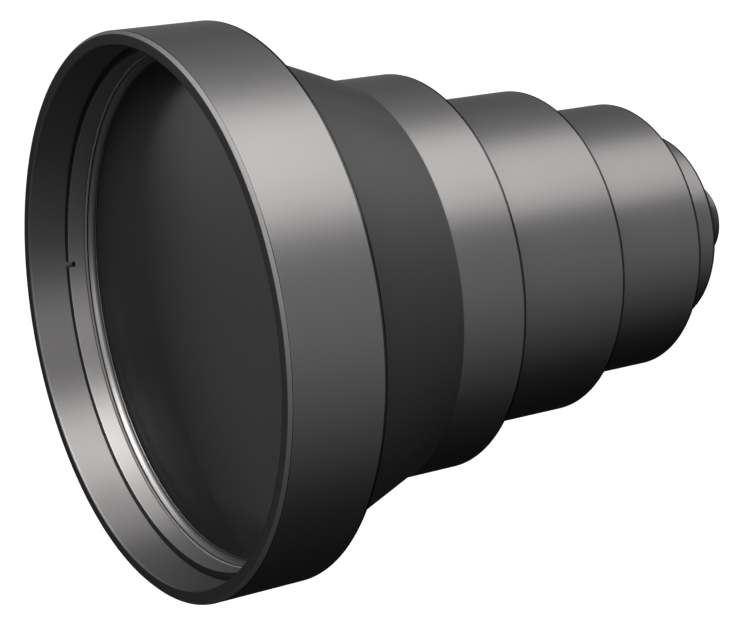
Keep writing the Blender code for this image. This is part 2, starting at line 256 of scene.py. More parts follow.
swept = add_node(
    lathe, "GeometryNodeCurveToMesh",
    {"Curve": circle.outputs["Curve"], "Profile Curve": rounded.outputs["Curve"]},
)
stood = add_node(
    lathe, "GeometryNodeTransform",
    {"Geometry": swept.outputs["Mesh"], "Rotation": (math.radians(90.0), 0.0, 0.0)},
)
closed_up = add_node(
    lathe, "GeometryNodeMergeByDistance",
    {"Geometry": stood.outputs["Geometry"], "Distance": asked.outputs["Merge distance"]},
)
smooth = add_node(
    lathe, "GeometryNodeSetShadeSmooth", {"Geometry": closed_up.outputs["Geometry"]}
)
end_tree(lathe, smooth.outputs["Geometry"], asked.outputs["Material"])
print("lathe has", len(lathe.nodes), "nodes")


# %% [markdown]
# A lens surface is defined by its sag, the depth below the top of the curve at a distance
# r from the axis. For an asphere the sag is c r^2 / (1 + sqrt(1 - (1 + k) c^2 r^2)) + a r^4,
# where c is one over the vertex radius, k the conic constant and a a fourth order term.
# The conic flattens the rim, which is what lets one element this wide stay thin. The
# formula is a small node group, because a lens needs it for both faces.

# %% The sag of an aspheric surface
sag = bpy.data.node_groups.new("sag of an asphere", "GeometryNodeTree")
for label in ("Radius", "Vertex radius", "Conic constant", "Fourth order term"):
    sag.interface.new_socket(label, in_out="INPUT", socket_type="NodeSocketFloat")
sag.interface.new_socket("Sag", in_out="OUTPUT", socket_type="NodeSocketFloat")
given = add_node(sag, "NodeGroupInput")


def math_node(tree, operation, *values):
    """The output of a Math node that works on values or sockets."""
    node = add_node(tree, "ShaderNodeMath", dict(enumerate(values)), operation=operation)
    return node.outputs[0]


squared = math_node(sag, "MULTIPLY", given.outputs["Radius"], given.outputs["Radius"])
curvature = math_node(sag, "DIVIDE", 1.0, given.outputs["Vertex radius"])
bend = math_node(sag, "MULTIPLY", curvature, squared)
conic_term = math_node(sag, "ADD", given.outputs["Conic constant"], 1.0)
stretch = math_node(sag, "MULTIPLY", conic_term, curvature)
under_root = math_node(sag, "SUBTRACT", 1.0, math_node(sag, "MULTIPLY", stretch, bend))
root = math_node(sag, "SQRT", under_root)
base_sag = math_node(sag, "DIVIDE", bend, math_node(sag, "ADD", root, 1.0))
fourth_power = math_node(sag, "MULTIPLY", squared, squared)
extra_sag = math_node(sag, "MULTIPLY", fourth_power, given.outputs["Fourth order term"])
add_node(sag, "NodeGroupOutput", {"Sag": math_node(sag, "ADD", base_sag, extra_sag)})
print("sag group has", len(sag.nodes), "nodes")

# %% [markdown]
# Nearly everything on this lens is black, and the blacks differ. The barrel is aluminium,
# bead blasted lightly after turning and dyed black in the anodising bath, which leaves a
# satin skin: a soft sheen, and a faint grain that follows the tool. Inside, where stray
# light would spoil the picture, the same bath gives a matt skin. Each finish below starts
# from one function that reads a surface in the lathe's own terms: the distance along the
# axis, the distance from it, and the direction in which the tool ran.

# %% Colours, and a start for every finish
RADIAL_SHARE = 0.7


def linear(hex_colour):
    """A colour written as sRGB hex digits, as the linear values that a shader wants."""
    channels = [int(hex_colour[i:i + 2], 16) / 255.0 for i in (1, 3, 5)]
    return [c / 12.92 if c <= 0.04045 else ((c + 0.055) / 1.055) ** 2.4 for c in channels] + [1.0]


def find_node(tree, kind):
    """The first node of a kind in a tree."""
    return next(node for node in tree.nodes if node.bl_idname == kind)


def start_finish(name, colour, **shader_inputs):
    """A material with a Principled shader. Its constant inputs are given by name."""
    finish = bpy.data.materials.new(name)
    finish.use_nodes = True
    tree = finish.node_tree
    shader = find_node(tree, "ShaderNodeBsdfPrincipled")
    shader.inputs["Base Color"].default_value = linear(colour)
    for label, value in shader_inputs.items():
        socket = label.replace("_", " ").title().replace("Ior", "IOR")
        shader.inputs[socket].default_value = value
    return finish, tree, shader


def axis_distance(tree, axes):
    """Socket with the distance from the Y axis, of a place whose axes were separated."""
    flat = add_node(tree, "ShaderNodeCombineXYZ", {"X": axes.outputs["X"], "Z": axes.outputs["Z"]})
    return add_node(
        tree, "ShaderNodeVectorMath", {0: flat.outputs["Vector"]}, operation="LENGTH"
    ).outputs["Value"]


def emboss(tree, shader, height, depth):
    """Bump a shader's surface by a height socket, as deep as told."""
    bump = add_node(tree, "ShaderNodeBump", {"Height": height, "Distance": depth})
    tree.links.new(bump.outputs["Normal"], shader.inputs["Normal"])


def lathe_terms(tree):
    """Object position, and the coordinate that grows along the axis and away from it."""
    place = add_node(tree, "ShaderNodeTexCoord").outputs["Object"]
    axes = add_node(tree, "ShaderNodeSeparateXYZ", {"Vector": place})
    slanted = math_node(tree, "MULTIPLY", axis_distance(tree, axes), RADIAL_SHARE)
    return place, math_node(tree, "ADD", axes.outputs["Y"], slanted)


print("linear mid grey:", round(linear("#808080")[0], 3))

# %% [markdown]
# The satin black. The tool's lines are about a tenth of a millimetre apart on the real
# barrel, finer than a pixel, so they are drawn about six times as coarse and very weak:
# they only make the highlight a little uneven along the axis, as on turned metal. The
# sheen spreads along the axis, across the lines, because each line throws the light to
# both sides, and it is the anisotropy that does that here. A slow mottling of the dye,
# a few centimetres across, keeps wide faces from looking like plastic.

# %% Turned and anodised metal
CLOUD_SIZE = 28.0 * MM
LINE_ROUGHNESS = 0.02
QUARTER_TURN = 0.25
FINISHES = {}


def turned_finish(name, colour, tint, roughness, line_pitch, line_depth, mottling, spread):
    """Black metal with weak tool lines, a slow mottling and a sheen that spreads along Y."""
    finish, tree, shader = start_finish(
        name, colour, metallic=1.0, roughness=roughness, specular_tint=linear(tint),
        anisotropic=spread, anisotropic_rotation=QUARTER_TURN,
    )
    place, along = lathe_terms(tree)
    lines = add_node(
        tree, "ShaderNodeTexNoise",
        {"W": math_node(tree, "DIVIDE", along, line_pitch), "Scale": 1.0, "Detail": 1.0},
        noise_dimensions="1D",
    ).outputs["Fac"]
    clouds = add_node(
        tree, "ShaderNodeTexNoise", {"Vector": place, "Scale": 1.0 / CLOUD_SIZE, "Detail": 3.0}
    ).outputs["Fac"]
    shade = math_node(tree, "MULTIPLY_ADD", clouds, 2.0 * mottling, 1.0 - mottling)
    dye = add_node(
        tree, "ShaderNodeVectorMath", {0: linear(colour)[:3], "Scale": shade}, operation="SCALE"
    )
    rough = math_node(
        tree, "MULTIPLY_ADD", lines, 2.0 * LINE_ROUGHNESS, roughness - LINE_ROUGHNESS
    )
    emboss(tree, shader, lines, line_depth)
    around = add_node(
        tree, "ShaderNodeVectorMath", {0: (0.0, 1.0, 0.0), 1: place}, operation="CROSS_PRODUCT"
    )
    straight = add_node(
        tree, "ShaderNodeVectorMath", {0: around.outputs["Vector"]}, operation="NORMALIZE"
    )
    tree.links.new(dye.outputs["Vector"], shader.inputs["Base Color"])
    tree.links.new(rough, shader.inputs["Roughness"])
    tree.links.new(straight.outputs["Vector"], shader.inputs["Tangent"])
    return finish


print("lines change the roughness by", LINE_ROUGHNESS, "and clouds span", CLOUD_SIZE / MM, "mm")

# %% [markdown]
# The outside of the barrel is blasted with fine beads before it is dyed. That gives a grey
# sheen with soft ends: the eye sees one broad light band along each step, and near black
# below it. The parts inside the barrel are dyed without a sheen, so that stray light dies
# there and the hollow looks deep. The camera mount is steel, blackened in a hot oxide bath,
# which is darker than the dye and leaves the turned lines sharper.

# %% The barrel, the parts inside it and the mount
TURNED_LINES = {"line_pitch": 0.6 * MM, "line_depth": 0.0012 * MM, "mottling": 0.05}
FINISHES["satin_black"] = turned_finish(
    "satin black anodised aluminium", "#5a5a5a", tint="#a8a8a8", roughness=0.42,
    spread=0.6, **TURNED_LINES,
)
FINISHES["inner_black"] = turned_finish(
    "matt black anodised aluminium", "#2c2c2d", tint="#707070", roughness=0.62,
    line_pitch=0.8 * MM, line_depth=0.002 * MM, mottling=0.04, spread=0.2,
)
FINISHES["mount_black"] = turned_finish(
    "black oxide steel", "#3a3a39", tint="#929292", roughness=0.42,
    line_pitch=0.5 * MM, line_depth=0.0015 * MM, mottling=0.08, spread=0.3,
)
print("turned finishes:", ", ".join(FINISHES))

# %% [markdown]
# Beads don't reach far into a bore, so the lines of the boring bar stay deeper there. They
# throw the light much further along the axis. The wall of the bell's mouth and the wall of
# the slotted ring show that as a wide pale sheen, among the brightest parts of the lens, and
# part of it is painted: both walls get a lighter colour than the barrel, the ring wall the
# lightest, and that lighter colour is painted sheen.

# %% The two bored walls in the mouth, with painted sheen
# The lighter colours of the bore and the ring wall are painted sheen, not another metal.
LIGHTENED_BORE_FINISH = turned_finish(
    "satin black bore, lightened as painted sheen", "#6f6f6f", tint="#a8a8a8", roughness=0.52,
    spread=0.88, **TURNED_LINES,
)
LIGHTENED_RING_FINISH = turned_finish(
    "satin black ring wall, lightened as painted sheen", "#878787", tint="#b0b0b0", roughness=0.52,
    spread=0.88, **TURNED_LINES,
)
print("bored walls:", LIGHTENED_BORE_FINISH.name, "and", LIGHTENED_RING_FINISH.name)

# %% [markdown]
# Faces that are turned square to the axis carry their lines in rings and hardly spread the
# light, so the flat annulus at the mouth and the front of the slotted ring stay dark beside
# the bright walls. The chamfer round the mouth is cut last with a broad tool and is duller,
# so it catches the lamps as one soft light line. The cone is rougher than the cylinders and
# spreads the light less along the axis, and it is given a darker colour than they have,
# which is painted shade: it shows no streak, which sets it off from the cylinders on both
# sides. The back edge of each step is broken with a polished tool and mirrors the black
# cards, and it is given a near black colour, which is painted shade, so each step closes
# with a thin black line.

# %% Faces, chamfer, cone and rims, the cone and the rims with painted shade
FACED_LINES = {"line_pitch": 0.4 * MM, "line_depth": 0.0008 * MM, "mottling": 0.04}
FACE_FINISH = turned_finish(
    "faced black metal", "#585858", tint="#808080", roughness=0.34,
    spread=0.1, **FACED_LINES,
)
CHAMFER_FINISH = turned_finish(
    "satin black chamfer", "#545454", tint="#a0a0a0", roughness=0.62,
    spread=0.2, **FACED_LINES,
)
# The cone's darker colour is painted shade.
DARKENED_CONE_FINISH = turned_finish(
    "satin black cone, darkened as painted shade", "#484a49", tint="#8a8a8a", roughness=0.5,
    spread=0.3, **TURNED_LINES,
)
# The rims' near black colour is a painted shade line.
RIM_PAINTED_SHADE_LINE = turned_finish(
    "smooth black rim, darkened as painted shade line", "#2a2a2a", tint="#707070", roughness=0.24,
    line_pitch=0.3 * MM, line_depth=0.0004 * MM, mottling=0.03, spread=0.1,
)
small_faces = (FACE_FINISH, CHAMFER_FINISH, DARKENED_CONE_FINISH, RIM_PAINTED_SHADE_LINE)
print("small faces:", ", ".join(finish.name for finish in small_faces))

# %% [markdown]
# The thin ring behind the slotted ring is acetal, a slippery black plastic that lets the
# metal ring turn down without dragging on the cell. It is parted off from a turned rod, so
# it keeps fine rings, and it is duller and more even than the metal round it. It shows as
# a dark line between two bright edges.

# %% Acetal
SLIP_LINE = 0.3 * MM
SLIP_LINE_DEPTH = 0.003 * MM
slip, slip_tree, slip_shader = start_finish("black acetal", "#505050", roughness=0.36, ior=1.48)
slip_lines = add_node(
    slip_tree, "ShaderNodeTexNoise",
    {"W": math_node(slip_tree, "DIVIDE", lathe_terms(slip_tree)[1], SLIP_LINE), "Scale": 1.0},
    noise_dimensions="1D",
)
emboss(slip_tree, slip_shader, slip_lines.outputs["Fac"], SLIP_LINE_DEPTH)
FINISHES["slip_ring"] = slip
print("plastic:", slip.name)

# %% [markdown]
# The elements are polished and carry a dark anti-reflection coating, and the barrel behind
# them is black, so the wide front element looks like a deep grey pool. Bare glass would
# mirror the room strongly at a slant. The coating takes that away, so the level of the
# gloss falls off as the glass is seen more from the side. The photograph shows no sharp
# mirror image in it, only a slow change from dark on the left to lighter above, so the
# gloss is drawn softer than a polished face would give. Very wide, faint clouds in it are
# the film of dust and breath that every large front element gathers.

# %% Coated glass
GLASS_ROUGHNESS = 0.22
HAZE_SIZE = 30.0 * MM
HAZE_ROUGHNESS = 0.03
GLOSS_LEVEL = 0.5
GLOSS_FALLS = (0.47, 0.63)
glass, glass_tree, glass_shader = start_finish(
    "coated optical glass", "#1b1d1c",
    roughness=GLASS_ROUGHNESS, ior=1.5, transmission_weight=0.1,
)
haze = add_node(
    glass_tree, "ShaderNodeTexNoise",
    {"Vector": add_node(glass_tree, "ShaderNodeTexCoord").outputs["Object"],
     "Scale": 1.0 / HAZE_SIZE, "Detail": 2.0},
)
hazed = math_node(
    glass_tree, "MULTIPLY_ADD", haze.outputs["Fac"], HAZE_ROUGHNESS,
    GLASS_ROUGHNESS - 0.5 * HAZE_ROUGHNESS,
)
glass_tree.links.new(hazed, glass_shader.inputs["Roughness"])
slant = add_node(glass_tree, "ShaderNodeLayerWeight", {"Blend": 0.5})
coating = add_node(
    glass_tree, "ShaderNodeMapRange",
    {"Value": slant.outputs["Facing"], "From Min": GLOSS_FALLS[0], "From Max": GLOSS_FALLS[1],
     "To Min": GLOSS_LEVEL, "To Max": 0.0},
    interpolation_type="SMOOTHSTEP",
)
glass_tree.links.new(coating.outputs["Result"], glass_shader.inputs["Specular IOR Level"])
FINISHES["coated_glass"] = glass
print("glass:", glass.name)

# %% [markdown]
# The ground rims and lands of the elements are painted black, so that no light wanders
# through the edge. The paint is brushed on thick. It is dead matt with a fine grain, which
# gives the eye a dark frame round each polished face.

# %% Edge paint
GRAIN_SIZE = 0.8 * MM
GRAIN_DEPTH = 0.01 * MM
paint, paint_tree, paint_shader = start_finish(
    "black edge paint", "#0d0d0d", roughness=1.0, specular_ior_level=0.1,
)
grain = add_node(
    paint_tree, "ShaderNodeTexNoise",
    {"Vector": add_node(paint_tree, "ShaderNodeTexCoord").outputs["Object"],
     "Scale": 1.0 / GRAIN_SIZE},
)
emboss(paint_tree, paint_shader, grain.outputs["Fac"], GRAIN_DEPTH)
print("edge paint:", paint.name)

# %% [markdown]
# Now the turning. The number of sides grows with the circumference, so that no silhouette
# shows a corner, and the small inner rings stay light. Each piece rides on the body and
# stands for the plain node whose outline it was read from.

# %% What the lathe is told, and where a piece belongs
SIDE_LENGTH = 1.6 * MM
FEWEST_SIDES = 96
SIDES_STEP = 8
EDGE_POINTS = 4
MERGE_DISTANCE = 0.001 * MM
SLOT_OF = {row["node"]: row["material_slot"] for row in frame["record"]["subparts"]}


def sides_for(radius):
    """Sides of a ring: about one for each side length, a multiple of the step."""
    steps = round(math.tau * radius / SIDE_LENGTH / SIDES_STEP)
    return max(FEWEST_SIDES, SIDES_STEP * steps)


def lathe_values(points, finish):
    """The lathe's inputs for an outline."""
    widest = max(radius for radius, station in points)
    return {
        "Sides": sides_for(widest), "Points in an edge": EDGE_POINTS,
        "Merge distance": MERGE_DISTANCE, "Material": finish,
    }


def place_piece(piece, node):
    """The piece rides on the body and stands for its node, whose plain part is hidden."""
    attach(piece, "root")
    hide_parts(node)
    print(f"{piece.name}: {len(piece.data.polygons)} faces")


print("slots of the nodes:", sorted(set(SLOT_OF.values())))

# %% [markdown]
# One turned piece shows more than one finish, as told above: a bored wall, a square face, a
# chamfer. A zone names a finish and says which faces get it, by the way that they face, by
# their distance from the axis and by their station along it. The smooth back rims are found
# in the outline itself: a rim is a 45 degree chamfer that faces backwards. The lighter bored
# walls are painted sheen, and the darker cone and the near black rims are painted shade.


# %% Zones of a turned piece
class Zone:
    """Part of a turned piece: limits for its distance from the axis, station and facing."""

    def __init__(self, finish, facing, radii=(0.0, 1.0), stations=(-1.0, 1.0)):
        self.finish = finish
        self.limits = (facing, radii, stations)

    def holds(self, face):
        """Whether a face lies in the zone. Facing 1 looks back to the camera mount."""
        distance = math.hypot(face.center.x, face.center.z)
        values = (face.normal.y, distance, face.center.y)
        return all(low <= value <= high for value, (low, high) in zip(values, self.limits))


FORWARD = (-1.0, -0.9)
INWARD = (-0.6, 1.0)
SLOPING = (0.2, 0.6)
MOUTH_WALL = (-0.3, 1.0)
MOUTH_FACE = (-1.0, -0.3)
MOUTH_CHAMFER = (-0.9, -0.66)
MOUTH_RIM = (-0.66, -0.03)
REAR_RIM = (-0.1, 1.0)
WALL_END = 83.0 * MM
CHAMFER_START = 83.95 * MM
RIM_START = 84.0 * MM
OUTERMOST = 1.0
# Zones with the bore, ring wall, cone and rim colours carry painted sheen or painted shade.
ZONES = {
    "front_bell": [
        Zone(LIGHTENED_BORE_FINISH, MOUTH_WALL, radii=(0.0, WALL_END)),
        Zone(FACE_FINISH, MOUTH_FACE, radii=(0.0, CHAMFER_START)),
        Zone(CHAMFER_FINISH, MOUTH_CHAMFER, radii=(CHAMFER_START, OUTERMOST)),
        # The mouth's outer rim gets the near black painted shade line as well.
        Zone(RIM_PAINTED_SHADE_LINE, MOUTH_RIM, radii=(RIM_START, OUTERMOST)),
    ],
    "front_lens_cell": [Zone(LIGHTENED_RING_FINISH, INWARD), Zone(FACE_FINISH, FORWARD)],
    "front_retaining_ring": [Zone(LIGHTENED_RING_FINISH, INWARD), Zone(FACE_FINISH, FORWARD)],
    "main_housing": [Zone(DARKENED_CONE_FINISH, SLOPING)],
}
RIMMED = ("front_bell", "main_housing", "middle_barrel", "rear_barrel", "rear_ring")
RIM_LAND = 0.7 * MM
RIM_REACH = 1.1 * MM
RIM_MARGIN = 0.1 * MM
LEAST_CHAMFER = 0.2 * MM
CHAMFER_SLACK = 0.05 * MM


def rim_shade_line_zones(points):
    """A zone of near black painted shade for each rear chamfer of an outline and the land in front
    of it.
    """
    zones = []
    for here, after in zip(points, points[1:] + points[:1]):
        drop, back = here[0] - after[0], after[1] - here[1]
        if back > LEAST_CHAMFER and abs(drop - back) < CHAMFER_SLACK:
            radii = (here[0] - RIM_REACH, here[0] + RIM_MARGIN)
            stations = (here[1] - RIM_LAND, here[1] + RIM_REACH)
            zones.append(Zone(RIM_PAINTED_SHADE_LINE, REAR_RIM, radii=radii, stations=stations))
    return zones


def finish_and_painted_light_zones(piece, node, points):
    """Give the faces of each zone of a piece their own finish; some zones carry painted sheen or
    painted shade.
    """
    rims = rim_shade_line_zones(points) if node in RIMMED else []
    for zone in ZONES.get(node, []) + rims:
        number = len(piece.data.materials)
        piece.data.materials.append(zone.finish)
        for face in piece.data.polygons:
            if zone.holds(face):
                face.material_index = number


print("zones:", {node: len(zones) for node, zones in ZONES.items()})

# %% [markdown]
# The lip of the lens cell is hollowed with a round tool. It starts as a bright line at the
# slip ring and falls in a curve to a thin edge at the glass, so the light runs from white
# to black over two millimetres. The model has a plain bulging fillet there, because the
# hollow was only found when the picture was compared closely. This outline lies up to 1.2
# mm below that fillet. It only takes metal away, so it stays inside the model's own piece.

# %% Hollow the lip of the lens cell
LIP_STEPS = 10
LIP_EDGE = 0.2 * MM
LIP_OVERHANG = 0.1 * MM
CLOSE = 0.01 * MM


def hollow_lip(points):
    """The cell's outline with a lip that is hollowed down to a thin edge at the glass."""
    front = min(station for radius, station in points)
    aperture = min(radius for radius, station in points)
    lip_back = max(station for radius, station in points if radius - aperture < CLOSE)
    mouth = min(radius for radius, station in outline_of("front_slip_ring")[0]) - LIP_OVERHANG
    depth = lip_back - front - LIP_EDGE
    kept = [point for point in points if point[0] > mouth or point[1] > lip_back - CLOSE]
    hollow = []
    for step in range(LIP_STEPS + 1):
        angle = 0.5 * math.pi * step / LIP_STEPS
        radius = aperture + (mouth - aperture) * math.cos(angle)
        hollow.append((radius, front + depth * math.sin(angle)))
    return kept + hollow[::-1]


print("lip of the cell:", len(hollow_lip(outline_of("front_lens_cell")[0])), "corners")

# %% [markdown]
# Every piece that isn't glass is turned from its own outline here. The slotted ring and the
# camera mount follow below, because they are cut once more after the turning.

# %% Turn the metal pieces and the slip ring
LENSES = [node for node in frame["nodes"] if SLOT_OF[node] == "coated_glass"]
SHAPED_LATER = ("front_retaining_ring", "camera_mount")
for node_name in frame["nodes"]:
    if node_name in LENSES or node_name in SHAPED_LATER:
        continue
    corners, is_closed = outline_of(node_name)
    if node_name == "front_lens_cell":
        corners = hollow_lip(corners)
    values = lathe_values(corners, FINISHES[SLOT_OF[node_name]])
    turned = run_tree(lathe, node_name + "_turned", draw_outline(corners, is_closed), values)
    finish_and_painted_light_zones(turned, node_name, corners)
    place_piece(turned, node_name)

# %% [markdown]
# The lens elements are ground and polished, not turned, and their shape is a formula. The
# tree takes a flat blank, with rings of points at the level of its two lands, and moves
# each point along the axis by the sag at the edge of the polished face less the sag at the
# point. Only then is it spun. Rims and lands, which is all that lies outside the polished
# face, get the black edge paint.

# %% The grinder
grinder, wanted = start_tree("grinder", LATHE_INPUTS | {
    "Aperture": "Float", "Front radius": "Float", "Front conic": "Float", "Front fourth": "Float",
    "Back radius": "Float", "Glass": "Material", "Edge paint": "Material",
})


def position_axes(tree):
    """A node with the three axes of each point's position."""
    place = add_node(tree, "GeometryNodeInputPosition")
    return add_node(tree, "ShaderNodeSeparateXYZ", {"Vector": place.outputs["Position"]})


def edge_less_point(radius_label, terms):
    """Socket with the sag at the aperture less the sag at the point itself."""
    sags = []
    for where in (wanted.outputs["Aperture"], blank_radius):
        inputs = {"Radius": where, "Vertex radius": wanted.outputs[radius_label]}
        group = add_node(grinder, "GeometryNodeGroup", inputs | terms, node_tree=sag)
        sags.append(group.outputs["Sag"])
    return math_node(grinder, "SUBTRACT", *sags)


blank_radius = position_axes(grinder).outputs["X"]
front_lift = edge_less_point("Front radius", {
    "Conic constant": wanted.outputs["Front conic"],
    "Fourth order term": wanted.outputs["Front fourth"],
})
back_lift = edge_less_point("Back radius", {})
face = add_node(
    grinder, "GeometryNodeInputNamedAttribute", {"Name": "face"}, data_type="FLOAT"
).outputs["Attribute"]
on_front = math_node(grinder, "LESS_THAN", face, -0.5)
on_back = math_node(grinder, "GREATER_THAN", face, 0.5)
shift = math_node(
    grinder, "SUBTRACT", math_node(grinder, "MULTIPLY", on_back, back_lift),
    math_node(grinder, "MULTIPLY", on_front, front_lift),
)
shift_vector = add_node(grinder, "ShaderNodeCombineXYZ", {"Y": shift})
ground = add_node(
    grinder, "GeometryNodeSetPosition",
    {"Geometry": wanted.outputs["Geometry"], "Offset": shift_vector.outputs["Vector"]},
)
passed_on = {label: wanted.outputs[label] for label in LATHE_INPUTS}
spun = add_node(
    grinder, "GeometryNodeGroup",
    {"Geometry": ground.outputs["Geometry"], "Material": wanted.outputs["Glass"]} | passed_on,
    node_tree=lathe,
)
spun_radius = axis_distance(grinder, position_axes(grinder))
outside = math_node(grinder, "GREATER_THAN", spun_radius, wanted.outputs["Aperture"])
end_tree(grinder, spun.outputs["Geometry"], wanted.outputs["Edge paint"], outside)
print("grinder has", len(grinder.nodes), "nodes")

# %% [markdown]
# The prescriptions are those of the model: the front radius, conic constant and fourth
# order term, then the back radius. Radii are in millimetres, positive where a face bulges
# outward and negative where it is hollow, and the fourth order term is per cubic metre.
# Only the wide front element is an asphere. The printed gap says how far the apex of the
# ground face lies from the model's own apex.

# %% Grind the five elements
FACE_RINGS = 56
LEAST_LAND = 0.5 * MM
PRESCRIPTIONS = {
    "front_asphere": (300.0, -0.9, 15.0, 1000.0),
    "middle_lens": (110.0, 0.0, 0.0, -90.0),
    "rear_lens_1": (55.0, 0.0, 0.0, -120.0),
    "rear_lens_2": (-60.0, 0.0, 0.0, -48.0),
    "rear_lens_3": (140.0, 0.0, 0.0, 52.0),
}


def draw_blank(rim, aperture, front, back):
    """Flat lens blank in the XY plane, with the attributes face and edge_radius."""
    rings = [aperture * i / FACE_RINGS for i in range(FACE_RINGS + 1)]
    rows = [(radius, front, -1.0, 0.0) for radius in rings]
    land = (rim - aperture) / 3.0
    rows += [(aperture + land, front, 0.0, 0.0), (rim, front, 0.0, EDGE_RADIUS)]
    rows += [(rim, back, 0.0, EDGE_RADIUS), (aperture + land, back, 0.0, 0.0)]
    rows += [(radius, back, 1.0, 0.0) for radius in reversed(rings)]
    mesh = bpy.data.meshes.new("blank")
    edges = [(i, i + 1) for i in range(len(rows) - 1)]
    mesh.from_pydata([(row[0], row[1], 0.0) for row in rows], edges, [])
    for name, column in (("face", 2), ("edge_radius", 3)):
        attribute = mesh.attributes.new(name, "FLOAT", "POINT")
        attribute.data.foreach_set("value", [row[column] for row in rows])
    return mesh


for node_name, (front_radius, conic, fourth, back_radius) in PRESCRIPTIONS.items():
    corners = outline_of(node_name)[0]
    rim = max(radius for radius, station in corners)
    lands = [station for radius, station in corners if rim - radius < CLOSE]
    aperture = max(radius for radius, station in corners if rim - radius > LEAST_LAND)
    values = lathe_values(corners, None) | {
        "Aperture": aperture, "Front radius": front_radius * MM, "Front conic": conic,
        "Front fourth": fourth, "Back radius": back_radius * MM,
        "Glass": FINISHES["coated_glass"], "Edge paint": paint,
    }
    blank = draw_blank(rim, aperture, min(lands), max(lands))
    element = run_tree(grinder, node_name + "_ground", blank, values)
    place_piece(element, node_name)
    stations = [vertex.co.y for vertex in element.data.vertices]
    modelled = [station for radius, station in corners]
    gap_front = (min(stations) - min(modelled)) / MM
    gap_back = (max(stations) - max(modelled)) / MM
    print(f"  front gap {gap_front:.4f} mm, back gap {gap_back:.4f} mm")

# %% [markdown]
# The retaining ring is screwed down on the cell with a spanner, whose two prongs fit two
# slots across the front face of the ring. A slitting saw cuts both in one pass. One long
# bar does the same here, taken out of the turned ring with a boolean. It lies a few degrees
# off the X axis, because the ring came tight a little past it.

# %% Cut the slots of the retaining ring
SHARP_ANGLE = math.radians(35.0)
slotter, cut_by = start_tree("slitting saw", {
    "Slot width": "Float", "Slot depth": "Float", "Slot turn": "Float", "Front face": "Float",
    "Reach": "Float", "Material": "Material",
})
depth_twice = math_node(slotter, "MULTIPLY", cut_by.outputs["Slot depth"], 2.0)
bar_size = add_node(
    slotter, "ShaderNodeCombineXYZ",
    {"X": cut_by.outputs["Reach"], "Y": depth_twice, "Z": cut_by.outputs["Slot width"]},
)
bar = add_node(slotter, "GeometryNodeMeshCube", {"Size": bar_size.outputs["Vector"]})
bar_place = add_node(slotter, "ShaderNodeCombineXYZ", {"Y": cut_by.outputs["Front face"]})
bar_turn = add_node(slotter, "ShaderNodeCombineXYZ", {"Y": cut_by.outputs["Slot turn"]})
bar_placed = add_node(
    slotter, "GeometryNodeTransform",
    {"Geometry": bar.outputs["Mesh"], "Translation": bar_place.outputs["Vector"],
     "Rotation": bar_turn.outputs["Vector"]},
)
slotted = add_node(
    slotter, "GeometryNodeMeshBoolean",
    {"Mesh 1": cut_by.outputs["Geometry"], "Mesh 2": bar_placed.outputs["Geometry"]},
    operation="DIFFERENCE", solver="EXACT",
)
cut_angle = add_node(slotter, "GeometryNodeInputMeshEdgeAngle")
at_the_cut = math_node(
    slotter, "GREATER_THAN", cut_angle.outputs["Unsigned Angle"], SHARP_ANGLE
)
crisp = add_node(
    slotter, "GeometryNodeSetShadeSmooth",
    {"Geometry": slotted.outputs["Mesh"], "Selection": at_the_cut, "Shade Smooth": False},
    domain="EDGE",
)
end_tree(slotter, crisp.outputs["Geometry"], cut_by.outputs["Material"])

SLOT_WIDTH = 1.8 * MM
SLOT_DEPTH = 2.2 * MM
SLOT_TURN = math.radians(3.0)
SLOT_REACH = 200.0 * MM
corners, is_closed = outline_of("front_retaining_ring")
values = lathe_values(corners, FINISHES["satin_black"])
round_ring = run_tree(lathe, "round_ring", draw_outline(corners, is_closed), values)
ring = run_tree(slotter, "front_retaining_ring_slotted", round_ring.data, {
    "Slot width": SLOT_WIDTH, "Slot depth": SLOT_DEPTH, "Slot turn": -SLOT_TURN,
    "Reach": SLOT_REACH, "Front face": min(station for radius, station in corners),
    "Material": FINISHES["satin_black"],
})
bpy.data.objects.remove(round_ring)
finish_and_painted_light_zones(ring, "front_retaining_ring", corners)
place_piece(ring, "front_retaining_ring")

# %% [markdown]
# The nose ends in the one inch camera thread, 32 turns to the inch. It is cut into the
# turned blank: every point of the nose is pulled towards the axis by a saw tooth that
# climbs once round for each turn of the thread. The thread runs out where the relief groove
# and the lead chamfer already lie deeper than its root.

# %% Cut the camera thread
threader, thread_by = start_tree("threading tool", {
    "Pitch": "Float", "Depth": "Float", "Crest radius": "Float", "Start": "Float",
    "Material": "Material",
})
nose_axes = position_axes(threader)
nose_radius = axis_distance(threader, nose_axes)
crest_socket, depth_socket = thread_by.outputs["Crest radius"], thread_by.outputs["Depth"]
angle = math_node(threader, "ARCTAN2", nose_axes.outputs["Z"], nose_axes.outputs["X"])
nose_turn = math_node(threader, "DIVIDE", angle, math.tau)
climb = math_node(threader, "DIVIDE", nose_axes.outputs["Y"], thread_by.outputs["Pitch"])
tooth = math_node(threader, "PINGPONG", math_node(threader, "SUBTRACT", climb, nose_turn), 0.5)
cut_share = math_node(threader, "SUBTRACT", 1.0, math_node(threader, "MULTIPLY", tooth, 2.0))
cut_depth = math_node(threader, "MULTIPLY", cut_share, depth_socket)
thread_floor = math_node(threader, "SUBTRACT", crest_socket, cut_depth)
new_radius = math_node(threader, "MINIMUM", nose_radius, thread_floor)
thread_root = math_node(threader, "SUBTRACT", crest_socket, depth_socket)
on_thread = math_node(
    threader, "MULTIPLY",
    math_node(threader, "GREATER_THAN", nose_axes.outputs["Y"], thread_by.outputs["Start"]),
    math_node(threader, "GREATER_THAN", nose_radius, thread_root),
)
safe_radius = math_node(threader, "MAXIMUM", nose_radius, 1e-6)
shrink = math_node(threader, "DIVIDE", new_radius, safe_radius)
